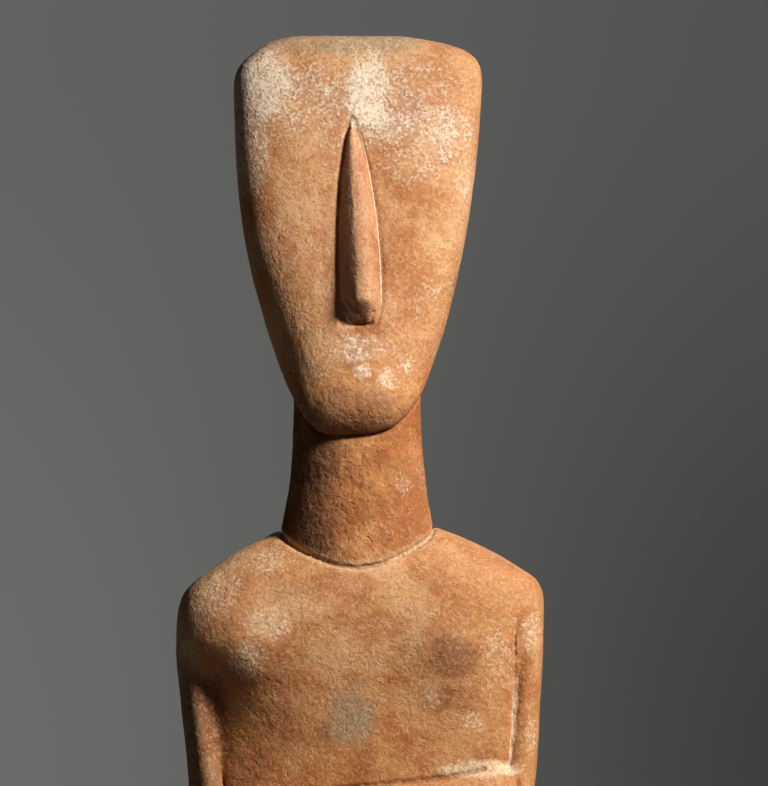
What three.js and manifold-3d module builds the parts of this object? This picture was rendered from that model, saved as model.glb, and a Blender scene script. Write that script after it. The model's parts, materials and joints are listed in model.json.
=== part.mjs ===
// A marble folded-arm figurine of the Early Cycladic kind, standing with its toes in a low stone plinth.
// Millimetres, +Z up. The figure faces -Y, and the origin is the centre of the plinth's underside.

import * as THREE from 'three';
import { LoftGeometry } from 'three/addons/geometries/LoftGeometry.js';
import { mergeVertices } from 'three/addons/utils/BufferGeometryUtils.js';
import Module from 'manifold-3d';

const wasm = await Module();
wasm.setup();

// Driving sizes

const figureHeight = 640;
const plinthWidth = 160;
const plinthDepth = 120;
const plinthHeight = 40;
const plinthChamfer = 3;
const toeSink = 14;
const socketClearance = 0.6;
const socketFloorGap = 0.3;

// The figure's own measures are hundredths of its height. Heights start at the toes, x at the middle line.
const share = figureHeight / 100;
const toeLevel = plinthHeight - toeSink;

// Outlines: height, left edge, right edge, front face, back face

const headOutline = [
  [78.42, -1.3, 0.2, -2.78, -2.45],
  [78.65, -2.15, 1.1, -3.18, -2.2],
  [79.05, -2.65, 2.05, -3.57, -1.85],
  [79.45, -2.95, 2.52, -3.79, -1.3],
  [80.0, -3.25, 3.0, -3.92, -0.4],
  [80.5, -3.48, 3.33, -3.94, 0.6],
  [81.2, -3.85, 3.63, -3.82, 2.1],
  [82.1, -4.22, 3.96, -3.64, 3.35],
  [84.0, -4.85, 4.62, -3.18, 3.98],
  [87.0, -5.68, 5.35, -2.5, 4.45],
  [90.0, -6.26, 5.95, -1.78, 4.78],
  [93.0, -6.56, 6.36, -1.05, 4.95],
  [96.0, -6.71, 6.6, -0.3, 4.95],
  [97.6, -6.76, 6.71, 0.1, 4.82],
  [98.3, -6.52, 6.66, 0.32, 4.68],
  [98.85, -6.02, 6.38, 0.55, 4.5],
  [99.3, -5.45, 5.75, 0.8, 4.25],
  [99.65, -4.95, 4.65, 0.95, 3.9],
  [99.88, -4.15, 3.3, 1.15, 3.45],
  [100.0, -3.3, 2.3, 1.4, 2.9],
];

const neckOutline = [
  [70.5, -4.45, 4.4, -3.26, 2.95],
  [73.3, -4.12, 4.02, -3.08, 2.85],
  [75.5, -3.72, 3.67, -2.94, 2.75],
  [78.4, -3.46, 3.42, -2.8, 2.75],
  [82.5, -3.46, 3.3, -2.6, 2.9],
];

const trunkOutline = [
  [41.0, -0.6, 0.6, -1.9, 1.6],
  [42.2, -2.0, 2.0, -2.75, 2.7],
  [44.0, -4.9, 4.9, -3.15, 3.3],
  [46.0, -7.55, 7.55, -3.35, 3.4],
  [48.0, -8.2, 8.25, -3.45, 3.1],
  [50.0, -7.95, 8.1, -3.4, 2.65],
  [53.0, -7.55, 7.75, -3.2, 2.25],
  [56.5, -7.6, 7.95, -3.15, 2.3],
  [58.5, -7.65, 8.4, -3.2, 2.4],
  [61.5, -7.95, 8.92, -3.3, 2.6],
  [65.0, -8.6, 9.3, -3.5, 2.9],
  [66.0, -9.2, 9.6, -3.62, 3.0],
  [67.3, -9.7, 9.84, -3.75, 3.05],
  [68.9, -9.7, 10.0, -3.78, 3.05],
  [69.9, -9.4, 9.98, -3.65, 2.95],
  [70.6, -8.7, 9.66, -3.5, 2.85],
  [71.3, -7.75, 8.6, -3.25, 2.65],
  [71.9, -6.9, 7.65, -2.8, 2.4],
  [72.5, -5.75, 6.45, -2.15, 2.0],
  [73.1, -4.55, 5.1, -1.1, 1.45],
  [73.5, -3.6, 3.9, -0.2, 0.9],
];

// The arms that hang from the shoulders to the elbows, photo left and photo right
const rightArmOutline = [
  [53.3, -7.8, -6.6, -2.0, 0.9],
  [53.9, -8.35, -6.0, -2.8, 1.6],
  [56.0, -8.85, -6.2, -2.95, 2.0],
  [60.0, -9.12, -7.0, -2.4, 2.1],
  [64.0, -9.56, -7.6, -1.85, 2.25],
  [66.4, -9.84, -7.95, -1.6, 2.2],
  [68.4, -9.78, -8.1, -1.2, 1.7],
  [69.6, -9.3, -8.4, -0.7, 0.8],
];

const leftArmOutline = [
  [56.7, 7.5, 8.8, -2.0, 0.8],
  [57.3, 6.9, 9.15, -2.7, 1.55],
  [59.0, 7.3, 9.45, -2.5, 2.05],
  [61.0, 7.9, 9.64, -2.25, 2.15],
  [64.0, 8.1, 9.78, -2.36, 2.25],
  [67.0, 8.15, 9.97, -2.68, 2.2],
  [68.7, 8.3, 9.98, -2.4, 1.6],
  [69.7, 8.5, 9.75, -1.4, 0.8],
];

// The folded forearms run across the body: x, lower edge, upper edge, front face, inner end of the block
const leftForearm = [
  [-6.9, 56.6, 58.2, -3.0, -1.6],
  [-6.3, 56.3, 58.7, -3.55, -1.6],
  [-3.0, 56.35, 59.2, -3.95, -1.6],
  [1.0, 56.5, 59.65, -4.0, -1.6],
  [5.0, 56.55, 60.1, -3.75, -1.6],
  [7.5, 56.6, 60.6, -3.3, -1.2],
  [8.5, 57.0, 60.5, -2.6, -0.6],
  [9.0, 57.6, 60.0, -1.6, 0.0],
];

const rightForearm = [
  [-8.6, 54.9, 57.6, -1.9, -0.3],
  [-8.1, 54.1, 58.2, -2.75, -0.8],
  [-6.6, 53.6, 57.4, -3.4, -1.3],
  [-4.0, 53.65, 56.5, -3.75, -1.6],
  [0.0, 53.9, 56.55, -3.9, -1.6],
  [3.5, 54.2, 56.75, -3.8, -1.6],
  [6.1, 54.5, 56.8, -3.4, -1.6],
  [6.8, 54.9, 56.4, -2.9, -1.6],
];

// One leg with its foot: height, inner edge, outer edge, front face, back face, for the leg at +x
const legOutline = [
  [0.0, 0.35, 3.45, -3.85, -3.1],
  [0.5, 0.05, 3.75, -4.15, -2.5],
  [1.6, -0.1, 3.85, -3.85, -1.35],
  [3.2, -0.12, 3.75, -3.15, 0.1],
  [4.8, -0.15, 3.6, -2.45, 1.45],
  [6.0, -0.15, 3.5, -2.0, 1.9],
  [8.0, -0.15, 3.45, -1.65, 1.75],
  [12.0, -0.15, 4.1, -1.7, 2.1],
  [16.0, -0.15, 4.95, -2.1, 2.6],
  [20.0, -0.15, 5.4, -2.6, 2.8],
  [24.0, -0.2, 5.5, -3.2, 2.4],
  [27.0, -0.25, 5.75, -3.6, 2.15],
  [31.0, -0.35, 6.45, -3.5, 2.4],
  [36.0, -0.45, 7.4, -3.45, 2.8],
  [41.0, -0.5, 8.15, -3.35, 3.35],
  [44.0, -0.1, 8.42, -3.2, 3.4],
  [46.5, 0.9, 8.3, -2.8, 2.95],
  [48.5, 2.4, 7.75, -2.1, 2.1],
  [50.0, 3.7, 6.9, -1.3, 1.2],
];

// The wedge of the nose: height, left edge, left and right of the ridge, right edge, rise of the ridge
const noseOutline = [
  [84.4, -0.86, -0.1, 0.5, 0.92, 0.03],
  [85.05, -0.93, -0.06, 0.56, 1.1, 0.74],
  [85.68, -0.99, -0.02, 0.6, 1.24, 1.38],
  [85.85, -1.0, -0.01, 0.61, 1.26, 1.42],
  [87.8, -1.05, -0.03, 0.58, 1.2, 1.24],
  [90.2, -1.05, -0.2, 0.38, 0.98, 1.0],
  [92.4, -0.92, -0.32, 0.1, 0.62, 0.73],
  [94.1, -0.68, -0.38, -0.14, 0.18, 0.42],
  [95.0, -0.52, -0.39, -0.29, -0.14, 0.19],
  [95.55, -0.42, -0.38, -0.35, -0.31, 0.0],
];

// How square the plan of each part is: 2 is an ellipse, more is boxier
const headPower = { front: 3.1, back: 2.4 };
const neckPower = { front: 2.05, back: 2.2 };
const trunkPower = { back: 2.6 };
const leftArmPower = { front: 2.9, back: 2.4 };
const rightArmPower = { front: 1.9, back: 2.4 };
const legPower = { front: 2.3, back: 2.3 };
const forearmPower = 2.8;

// The face is rounder at the chin than at the brow: height and the power of the head's front
const facePowers = [
  [78.4, 2.1],
  [80.5, 2.15],
  [84.0, 2.45],
  [88.0, 3.0],
  [92.0, 3.4],
  [96.0, 3.6],
  [100.0, 3.5],
];

// The trunk's front is fuller at the breasts than below them: height, and its power on the -x and +x side
const trunkPowers = [
  [41.0, 2.3, 2.4],
  [58.0, 2.2, 2.8],
  [64.0, 2.1, 3.2],
  [66.0, 2.7, 3.2],
  [67.5, 3.3, 3.2],
  [70.0, 2.8, 3.0],
  [73.5, 2.4, 2.8],
];

// Low mounds on the trunk, and one hollow below the right breast: x, height, rise, half width, half height, and which face they are on
const mounds = [
  { x: -6.3, height: 66.5, rise: 0.42, wide: 1.7, tall: 1.8, face: 'front' },
  { x: -7.3, height: 63.6, rise: -0.4, wide: 1.7, tall: 2.4, face: 'front' },
  { x: 5.4, height: 66.9, rise: 0.5, wide: 1.9, tall: 2.0, face: 'front' },
  { x: 0, height: 49.6, rise: 0.22, wide: 3.2, tall: 2.4, face: 'front' },
  { x: -3.4, height: 45.0, rise: 0.4, wide: 2.6, tall: 2.6, face: 'back' },
  { x: 3.4, height: 45.0, rise: 0.4, wide: 2.6, tall: 2.6, face: 'back' },
];

// Widths and depths of the incised lines
const neckLine = { width: 0.26, depth: 0.22 };
const bodyLine = { width: 0.42, depth: 0.2 };
const armLine = { width: 0.27, depth: 0.17 };
const cleftLine = { width: 0.6, depth: 0.45 };
const spineLine = { width: 0.9, depth: 0.22 };
const toeLine = { width: 0.28, depth: 0.14 };

// Heights between which the incised lines run
const neckLineStart = 72.5;
const spineSpan = [70.4, 47.5];
const thighLineSpan = [47.9, 42.0];
const bellyLineHeight = 46.0;
const bellyLineRise = 0.5;
const cleftFrontFoot = 1.2;
const cleftBackSpan = [46.5, 3.2];
const toeLineSpan = [0.7, 3.7];

// The lines between the trunk and the hanging arms: x and height
const rightArmLine = [
  [-8.4, 64.9],
  [-7.95, 63.2],
  [-7.45, 61.0],
  [-7.05, 58.9],
];
const leftArmLine = [
  [8.43, 68.6],
  [8.42, 66.8],
  [8.38, 64.6],
  [8.27, 62.4],
  [8.13, 60.6],
];

// How finely the lofts are cut
const ringStep = 2.6;
const columnsAround = { head: 36, neck: 28, trunk: 38, arm: 16, leg: 18, forearm: 14 };
const plinthColumns = 28;

// The figure's material and the plinth's
const marble = new THREE.MeshStandardMaterial({ color: 0xc58a5c, roughness: 0.82, metalness: 0 });
const darkStone = new THREE.MeshStandardMaterial({ color: 0x3c3b39, roughness: 0.6, metalness: 0 });

// A smooth curve through the rows of a table, read at any value of their first column.
function smoothTable(rows) {
  const positions = Float32Array.from(rows, (row) => row[0]);
  const values = Float32Array.from(rows.flatMap((row) => row.slice(1)));
  const curve = new THREE.CubicInterpolant(positions, values, rows[0].length - 1);
  return (at) => Array.from(curve.evaluate(at));
}

// The rows' own positions, with steps between them that are no longer than the given one.
function stepsThrough(rows, step) {
  const steps = [rows[0][0]];
  for (let i = 1; i < rows.length; i++) {
    const start = rows[i - 1][0];
    const length = rows[i][0] - start;
    const count = Math.ceil(length / step);
    for (let k = 1; k <= count; k++) steps.push(start + (length * k) / count);
  }
  return steps;
}

// One coordinate of a superellipse, from the cosine or sine of its angle.
function boxy(cosine, power) {
  return Math.sign(cosine) * Math.pow(Math.abs(cosine), 2 / power);
}

// A part's plan can be boxier at the front of its own left half, on the +x side, than on the right.
function powerAt(power, cosine, sine) {
  if (sine >= 0) return power.back;
  return cosine > 0 && power.frontLeft ? power.frontLeft : power.front;
}

// A closed ring at one height, between a left, right, front and back edge.
function levelRing(height, [left, right, front, back], power, columns, relief = () => 0) {
  const middleX = (left + right) / 2;
  const middleY = (front + back) / 2;
  const halfWidth = (right - left) / 2;
  const halfDepth = (back - front) / 2;
  const ring = [];
  for (let i = 0; i < columns; i++) {
    const angle = (2 * Math.PI * i) / columns;
    const sine = Math.sin(angle);
    const cosine = Math.cos(angle);
    const facePower = powerAt(power, cosine, sine);
    const x = middleX + halfWidth * boxy(cosine, facePower);
    const y = middleY + halfDepth * boxy(sine, facePower);
    ring.push(placed(x, y + relief(x, height, sine), height));
  }
  return ring;
}

// A point of the figure in millimetres, from hundredths of its height.
function placed(x, y, height) {
  return new THREE.Vector3(x * share, y * share, toeLevel + height * share);
}

// A loft through horizontal rings, as a solid. How square they are may change with the height.
function risingLoft(rows, powerAtHeight, columns, relief) {
  const edges = smoothTable(rows);
  const heights = stepsThrough(rows, ringStep);
  const ringAt = (height) => levelRing(height, edges(height), powerAtHeight(height), columns, relief);
  return solidOf(loftOf(heights.map(ringAt)));
}

function loftOf(rings) {
  return new LoftGeometry(rings, { capStart: true, capEnd: true });
}

// A three.js geometry as a solid that can be joined and cut.
function solidOf(geometry) {
  const bare = new THREE.BufferGeometry();
  bare.setAttribute('position', geometry.attributes.position);
  bare.setIndex(geometry.index);
  const merged = mergeVertices(bare, 1e-4);
  return new wasm.Manifold(
    new wasm.Mesh({
      numProp: 3,
      vertProperties: merged.attributes.position.array,
      triVerts: Uint32Array.from(merged.index.array),
    }),
  );
}

// A solid as a three.js geometry.
function geometryOf(solid) {
  const mesh = solid.getMesh();
  const geometry = new THREE.BufferGeometry();
  geometry.setAttribute('position', new THREE.Float32BufferAttribute(mesh.vertProperties, 3));
  geometry.setIndex(new THREE.Uint32BufferAttribute(mesh.triVerts, 1));
  geometry.computeVertexNormals();
  return geometry;
}

function joined(solids) {
  return solids.reduce((whole, next) => whole.add(next));
}

// Breasts, belly and buttocks swell out of the trunk's faces.
function trunkRelief(x, height, sine) {
  let swell = 0;
  for (const mound of mounds) {
    const outward = mound.face === 'front' ? -1 : 1;
    const acrossShare = (x - mound.x) / mound.wide;
    const upShare = (height - mound.height) / mound.tall;
    const facing = Math.max(0, sine * outward);
    swell += outward * mound.rise * facing * Math.exp(-(acrossShare ** 2) - upShare ** 2);
  }
  return swell;
}

// A forearm is a band across the body, lofted along x.
function forearmSolid(rows) {
  const edges = smoothTable(rows);
  const rings = stepsThrough(rows, ringStep).map((x) => {
    const [low, high, front, inner] = edges(x);
    const ring = [];
    for (let i = 0; i < columnsAround.forearm; i++) {
      const angle = (2 * Math.PI * i) / columnsAround.forearm;
      const y = (front + inner) / 2 + ((inner - front) / 2) * boxy(Math.cos(angle), forearmPower);
      const height = (low + high) / 2 + ((high - low) / 2) * boxy(Math.sin(angle), forearmPower);
      ring.push(placed(x, y, height));
    }
    return ring;
  });
  return solidOf(loftOf(rings));
}

// The nose's rings stand on the face, and their back is inside the head.
function noseSolid() {
  const root = 0.45;
  const crown = 0.04;
  const faceEdges = smoothTable(headOutline);
  const edges = smoothTable(noseOutline);
  const rings = stepsThrough(noseOutline, ringStep).map((height) => {
    const [left, ridgeLeft, ridgeRight, right, rise] = edges(height);
    const face = faceEdges(height)[2];
    const corners = [
      [right, -root],
      [left, -root],
      [left, 0],
      [(left + ridgeLeft) / 2, rise * 0.55],
      [ridgeLeft, rise * (1 - crown)],
      [(ridgeLeft + ridgeRight) / 2, rise],
      [ridgeRight, rise * (1 - crown)],
      [(ridgeRight + right) / 2, rise * 0.58],
      [right, 0],
    ];
    return corners.map(([x, out]) => placed(x, face - out, height));
  });
  return solidOf(loftOf(rings));
}

function legSolids() {
  const rightSide = risingLoft(legOutline, () => legPower, columnsAround.leg);
  const mirrored = ([height, inner, outer, front, back]) => [height, -outer, -inner, front, back];
  return [rightSide, risingLoft(legOutline.map(mirrored), () => legPower, columnsAround.leg)];
}

// A line of points on the surface, found by looking at the solid from in front or from behind.
function surfaceLine(target, points, fromFront) {
  const side = fromFront ? -1 : 1;
  const away = figureHeight;
  const ray = new THREE.Raycaster();
  return points.map(([x, height]) => {
    const start = placed(x, 0, height);
    start.y = side * away;
    ray.set(start, new THREE.Vector3(0, -side, 0));
    return ray.intersectObject(target)[0].point;
  });
}

// Points along a smooth curve through the given ones.
function along(points, count) {
  const curve = new THREE.CatmullRomCurve3(points.map(([x, height]) => new THREE.Vector3(x, 0, height)));
  return curve.getSpacedPoints(count).map((p) => [p.x, p.z]);
}

// A V-shaped cut along a line on the surface. It runs out to nothing at its ends.
function vCut(line, outward, { width, depth }) {
  const taper = (i) => Math.min(1, 0.25 + 0.75 * Math.min(i, line.length - 1 - i));
  const lift = 2.5;
  const rings = line.map((point, i) => {
    const before = line[Math.max(0, i - 1)];
    const after = line[Math.min(line.length - 1, i + 1)];
    const out = outward(point).normalize();
    const side = new THREE.Vector3().subVectors(after, before).cross(out).normalize();
    const deep = depth * share * taper(i);
    const half = (width / 2) * share * taper(i) * (1 + lift);
    const top = point.clone().addScaledVector(out, lift * deep);
    return [
      top.clone().addScaledVector(side, half),
      point.clone().addScaledVector(out, -deep),
      top.clone().addScaledVector(side, -half),
    ];
  });
  return solidOf(loftOf(rings));
}

const towardsFront = () => new THREE.Vector3(0, -1, 0);
const towardsBack = () => new THREE.Vector3(0, 1, 0);

// The incised line round the foot of the neck, where neck and shoulders meet.
function neckLineCut(neck, trunk) {
  const trunkMesh = new THREE.Mesh(geometryOf(trunk));
  const edges = smoothTable(neckOutline);
  const ray = new THREE.Raycaster();
  const count = 40;
  const line = [];
  for (let i = 0; i < count; i++) {
    const angle = (2 * Math.PI * i) / count;
    let height = neckLineStart;
    for (let pass = 0; pass < 6; pass++) {
      const ring = levelRing(height, edges(height), neckPower, count);
      const start = ring[i].clone().setZ(toeLevel + figureHeight);
      ray.set(start, new THREE.Vector3(0, 0, -1));
      height = (ray.intersectObject(trunkMesh)[0].point.z - toeLevel) / share;
    }
    const point = levelRing(height, edges(height), neckPower, count)[i];
    const out = new THREE.Vector3(Math.cos(angle), Math.sin(angle), 0);
    line.push(point.clone().addScaledVector(out, 0.05 * share));
  }
  return ringCut(line, neckLine);
}

// A V-shaped cut along a closed line round the neck.
function ringCut(line, { width, depth }) {
  const centre = new THREE.Vector3();
  for (const point of line) centre.addScaledVector(point, 1 / line.length);
  const rise = new THREE.Vector3(0, 0, 1);
  const rings = [...line, line[0]].map((point) => {
    const out = new THREE.Vector3(point.x - centre.x, point.y - centre.y, 0).normalize();
    out.add(rise).normalize();
    const around = new THREE.Vector3().crossVectors(rise, out).normalize();
    const side = new THREE.Vector3().crossVectors(around, out).normalize();
    const half = width * share;
    const top = point.clone().addScaledVector(out, depth * share);
    return [
      top.clone().addScaledVector(side, half),
      point.clone().addScaledVector(out, -depth * share),
      top.clone().addScaledVector(side, -half),
    ];
  });
  return solidOf(new LoftGeometry(rings));
}

// The front face's y at one x, on a ring between the given edges.
function frontAt(x, [left, right, front, back], power) {
  const fromMiddle = (2 * x - left - right) / (right - left);
  const across = Math.min(1, Math.abs(fromMiddle));
  const facePower = powerAt(power, fromMiddle, -1);
  return (front + back) / 2 - ((back - front) / 2) * Math.pow(1 - across ** facePower, 1 / facePower);
}

function trunkPowerAt(height) {
  const [front, frontLeft] = smoothTable(trunkPowers)(height);
  return { ...trunkPower, front, frontLeft };
}

// The line along which a limb comes out of the trunk's front, between two heights, on the +x or -x side.
function emergingLine(limbRows, limbPower, side, [from, to], count) {
  const trunkEdges = smoothTable(trunkOutline);
  const limbEdges = smoothTable(limbRows);
  const step = 0.02;
  const line = [];
  for (let i = 0; i <= count; i++) {
    const height = from + ((to - from) * i) / count;
    const trunk = trunkEdges(height);
    const limb = limbEdges(height);
    const [inner, outer] = side > 0 ? [limb[0], limb[1]] : [-limb[1], -limb[0]];
    let across = Math.max(inner, 0) + step;
    const trunkPlan = trunkPowerAt(height);
    const hidden = (x) => frontAt(x, limb, limbPower) > frontAt(x, trunk, trunkPlan);
    while (across < outer - step && hidden(side * across)) across += step;
    line.push([side * across, height]);
  }
  return line;
}

// Every incised line of the body, as one list of cuts.
function bodyCuts(stone) {
  const target = new THREE.Mesh(geometryOf(stone));
  const seen = (points, count, fromFront) => surfaceLine(target, along(points, count), fromFront);
  const front = (points, count, size) => vCut(seen(points, count, true), towardsFront, size);
  const back = (points, count, size) => vCut(seen(points, count, false), towardsBack, size);
  const toes = [-2.95, -2.2, -1.5, -0.85, 0.85, 1.5, 2.2, 2.95];
  const thigh = emergingLine(legOutline, legPower, 1, thighLineSpan, 8);
  const otherThigh = thigh.map(([x, height]) => [-x, height]);
  const crotch = thigh[thigh.length - 1][1];
  const bellyEdge = bellyLineHeight + bellyLineRise;
  return [
    ...toes.map((x) => front(toeLineSpan.map((height) => [x, height]), 2, toeLine)),
    front([[-5.0, bellyEdge], [0, bellyLineHeight], [5.0, bellyEdge]], 8, bodyLine),
    front(thigh, 9, bodyLine),
    front(otherThigh, 9, bodyLine),
    front([[0, crotch], [0, cleftFrontFoot]], 14, cleftLine),
    back(cleftBackSpan.map((height) => [0, height]), 14, cleftLine),
    back(spineSpan.map((height) => [0, height]), 8, spineLine),
    front(rightArmLine, 6, armLine),
    front(leftArmLine, 7, armLine),
  ];
}

function figureSolid() {
  const facePower = smoothTable(facePowers);
  const headPowerAt = (height) => ({ ...headPower, front: facePower(height)[0] });
  const head = risingLoft(headOutline, headPowerAt, columnsAround.head);
  const neck = risingLoft(neckOutline, () => neckPower, columnsAround.neck);
  const trunk = risingLoft(trunkOutline, trunkPowerAt, columnsAround.trunk, trunkRelief);
  const leftArm = risingLoft(leftArmOutline, () => leftArmPower, columnsAround.arm);
  const rightArm = risingLoft(rightArmOutline, () => rightArmPower, columnsAround.arm);
  const forearms = [leftForearm, rightForearm].map(forearmSolid);
  const body = joined([trunk, leftArm, rightArm, ...forearms, ...legSolids()]);
  const whole = joined([body, neck, head, noseSolid()]);
  return [...bodyCuts(whole), neckLineCut(neck, body)].reduce((stone, cut) => stone.subtract(cut), whole);
}

// The plinth is a block with chamfered top edges and a slanting socket that follows the toes.
function plinthSolid() {
  const halfWidth = plinthWidth / 2;
  const halfDepth = plinthDepth / 2;
  const corner = (inset, height) => [
    new THREE.Vector3(halfWidth - inset, -halfDepth + inset, height),
    new THREE.Vector3(halfWidth - inset, halfDepth - inset, height),
    new THREE.Vector3(-halfWidth + inset, halfDepth - inset, height),
    new THREE.Vector3(-halfWidth + inset, -halfDepth + inset, height),
  ];
  const rings = [corner(0, 0), corner(0, plinthHeight - plinthChamfer), corner(plinthChamfer, plinthHeight)];
  return solidOf(loftOf(rings)).subtract(socketSolid());
}

function socketSolid() {
  const edges = smoothTable(legOutline);
  const play = socketClearance / share;
  const aboveTop = 1;
  const highest = (toeSink + aboveTop) / share;
  const rings = [];
  const steps = 5;
  for (let i = 0; i <= steps; i++) {
    const height = (highest * i) / steps;
    const [, outer, front, back] = edges(height);
    const grown = [-outer - play, outer + play, front - play, back + play];
    const ring = levelRing(height, grown, { front: 4, back: 4 }, plinthColumns);
    if (i === 0) for (const point of ring) point.z -= socketFloorGap;
    rings.push(ring);
  }
  return solidOf(loftOf(rings));
}

function named(name, solid, material) {
  const mesh = new THREE.Mesh(geometryOf(solid), material);
  mesh.name = name;
  return mesh;
}

const figurine = new THREE.Group();
figurine.add(named('figure', figureSolid(), marble));
figurine.add(named('plinth', plinthSolid(), darkStone));

export default figurine;
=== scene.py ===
"""A weathered marble folded-arm figurine, standing with its toes in a low plinth of dark stone."""

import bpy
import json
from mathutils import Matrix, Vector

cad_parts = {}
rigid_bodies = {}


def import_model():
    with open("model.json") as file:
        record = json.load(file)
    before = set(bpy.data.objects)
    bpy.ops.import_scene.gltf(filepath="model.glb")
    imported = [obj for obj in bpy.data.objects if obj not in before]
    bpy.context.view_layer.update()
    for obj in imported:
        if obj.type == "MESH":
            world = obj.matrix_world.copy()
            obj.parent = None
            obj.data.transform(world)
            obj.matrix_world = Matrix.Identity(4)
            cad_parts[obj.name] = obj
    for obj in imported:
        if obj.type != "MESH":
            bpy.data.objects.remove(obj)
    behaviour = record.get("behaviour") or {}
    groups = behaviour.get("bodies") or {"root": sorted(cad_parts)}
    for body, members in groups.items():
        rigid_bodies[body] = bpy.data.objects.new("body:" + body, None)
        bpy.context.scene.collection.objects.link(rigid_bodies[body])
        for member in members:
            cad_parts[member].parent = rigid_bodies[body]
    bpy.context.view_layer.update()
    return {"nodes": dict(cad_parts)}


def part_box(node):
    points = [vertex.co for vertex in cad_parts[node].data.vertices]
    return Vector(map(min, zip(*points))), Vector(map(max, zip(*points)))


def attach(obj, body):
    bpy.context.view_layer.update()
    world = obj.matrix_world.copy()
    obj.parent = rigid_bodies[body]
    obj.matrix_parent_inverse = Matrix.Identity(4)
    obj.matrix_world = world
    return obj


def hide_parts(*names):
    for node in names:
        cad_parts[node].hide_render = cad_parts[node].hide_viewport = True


bl_info = {
    "name": "Marble figurine",
    "version": (1, 0, 0),
    "blender": (4, 5, 0),
    "location": "View3D > Sidebar > Figurine",
    "description": "Weathers a carved marble figure, hones its plinth and sets up a plain studio",
    "category": "Object",
}

import json
import math

import bmesh
import bpy
import numpy as np
from mathutils import Vector, bvhtree, kdtree

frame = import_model()
figure_low, figure_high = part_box("figure")
plinth_low, plinth_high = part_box("plinth")


# Helpers for meshes

MERGE_WITHIN = 1e-6


def select_only(thing):
    bpy.ops.object.select_all(action="DESELECT")
    thing.select_set(True)
    bpy.context.view_layer.objects.active = thing


def copy_of_solid(node_name, name):
    """A copy of a CAD solid under a new name, with its loose triangles merged."""
    select_only(frame["nodes"][node_name])
    bpy.ops.object.duplicate()
    piece = bpy.context.view_layer.objects.active
    bpy.ops.object.parent_clear(type="CLEAR_KEEP_TRANSFORM")
    piece.name = name
    piece.data.name = name
    for key in list(piece.keys()):
        del piece[key]
    piece.data.materials.clear()
    bpy.ops.object.mode_set(mode="EDIT")
    bpy.ops.mesh.select_all(action="SELECT")
    bpy.ops.mesh.remove_doubles(threshold=MERGE_WITHIN)
    bpy.ops.object.mode_set(mode="OBJECT")
    return piece


def finish_with(piece, kind, **settings):
    """Adds a modifier with these settings and applies it."""
    select_only(piece)
    modifier = piece.modifiers.new(kind.title(), kind)
    for key, value in settings.items():
        setattr(modifier, key, value)
    bpy.ops.object.modifier_apply(modifier=modifier.name)


def points_of(mesh):
    points = np.empty(len(mesh.vertices) * 3, np.float32)
    mesh.vertices.foreach_get("co", points)
    return points.reshape(-1, 3)


FAR = 0.02  # a line or an edge has no effect on the stone beyond this


def distance_to(points, targets):
    """How far each point is from the nearest target."""
    if not targets:
        return np.full(len(points), FAR, np.float32)
    tree = kdtree.KDTree(len(targets))
    for i, target in enumerate(targets):
        tree.insert(target, i)
    tree.balance()
    found = np.fromiter((tree.find(p)[2] for p in points.tolist()), np.float32, len(points))
    return np.minimum(found, FAR)


def on_surface(mesh, targets):
    """The nearest point of a mesh to each target."""
    mesh.calc_loop_triangles()
    points = [v.co for v in mesh.vertices]
    tree = bvhtree.BVHTree.FromPolygons(points, [t.vertices for t in mesh.loop_triangles])
    return [tree.find_nearest(target)[0] for target in targets]


def normals_of(mesh):
    normals = np.empty(len(mesh.vertices) * 3, np.float32)
    mesh.vertices.foreach_get("normal", normals)
    return normals.reshape(-1, 3)


def move_points(mesh, points):
    mesh.vertices.foreach_set("co", points.astype(np.float32).ravel())
    mesh.update()


def smooth_step(values, low, high):
    share = np.clip((values - low) / (high - low), 0, 1)
    return share * share * (3 - 2 * share)


def weight_group(piece, name, weights):
    """A vertex group with one weight for each vertex, in steps of a fiftieth."""
    group = piece.vertex_groups.new(name=name)
    steps = np.rint(weights * 50).astype(int)
    for step in range(1, 51):
        members = np.flatnonzero(steps == step)
        if len(members):
            group.add(members.tolist(), step / 50, "REPLACE")


def store(mesh, name, values):
    attribute = mesh.attributes.new(name, "FLOAT", "POINT")
    attribute.data.foreach_set("value", values.astype(np.float32))


def bulge_of(mesh, passes):
    """How much each vertex stands out of its neighbours, in metres, averaged over a few rings of them."""
    count = len(mesh.vertices)
    ends = np.empty(len(mesh.edges) * 2, np.int32)
    mesh.edges.foreach_get("vertices", ends)
    a, b = ends.reshape(-1, 2).T
    near = np.bincount(a, minlength=count) + np.bincount(b, minlength=count)

    def neighbours(values):
        return (np.bincount(a, values[b], count) + np.bincount(b, values[a], count)) / near

    points = points_of(mesh).astype(np.float64)
    around = points.copy()
    for _ in range(passes):
        around = np.stack([neighbours(around[:, k]) for k in range(3)], axis=1)
    bulge = ((points - around) * normals_of(mesh)).sum(axis=1)
    for _ in range(passes):
        bulge = (bulge + neighbours(bulge)) / 2
    return bulge


# Shader nodes, written as arithmetic


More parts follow.
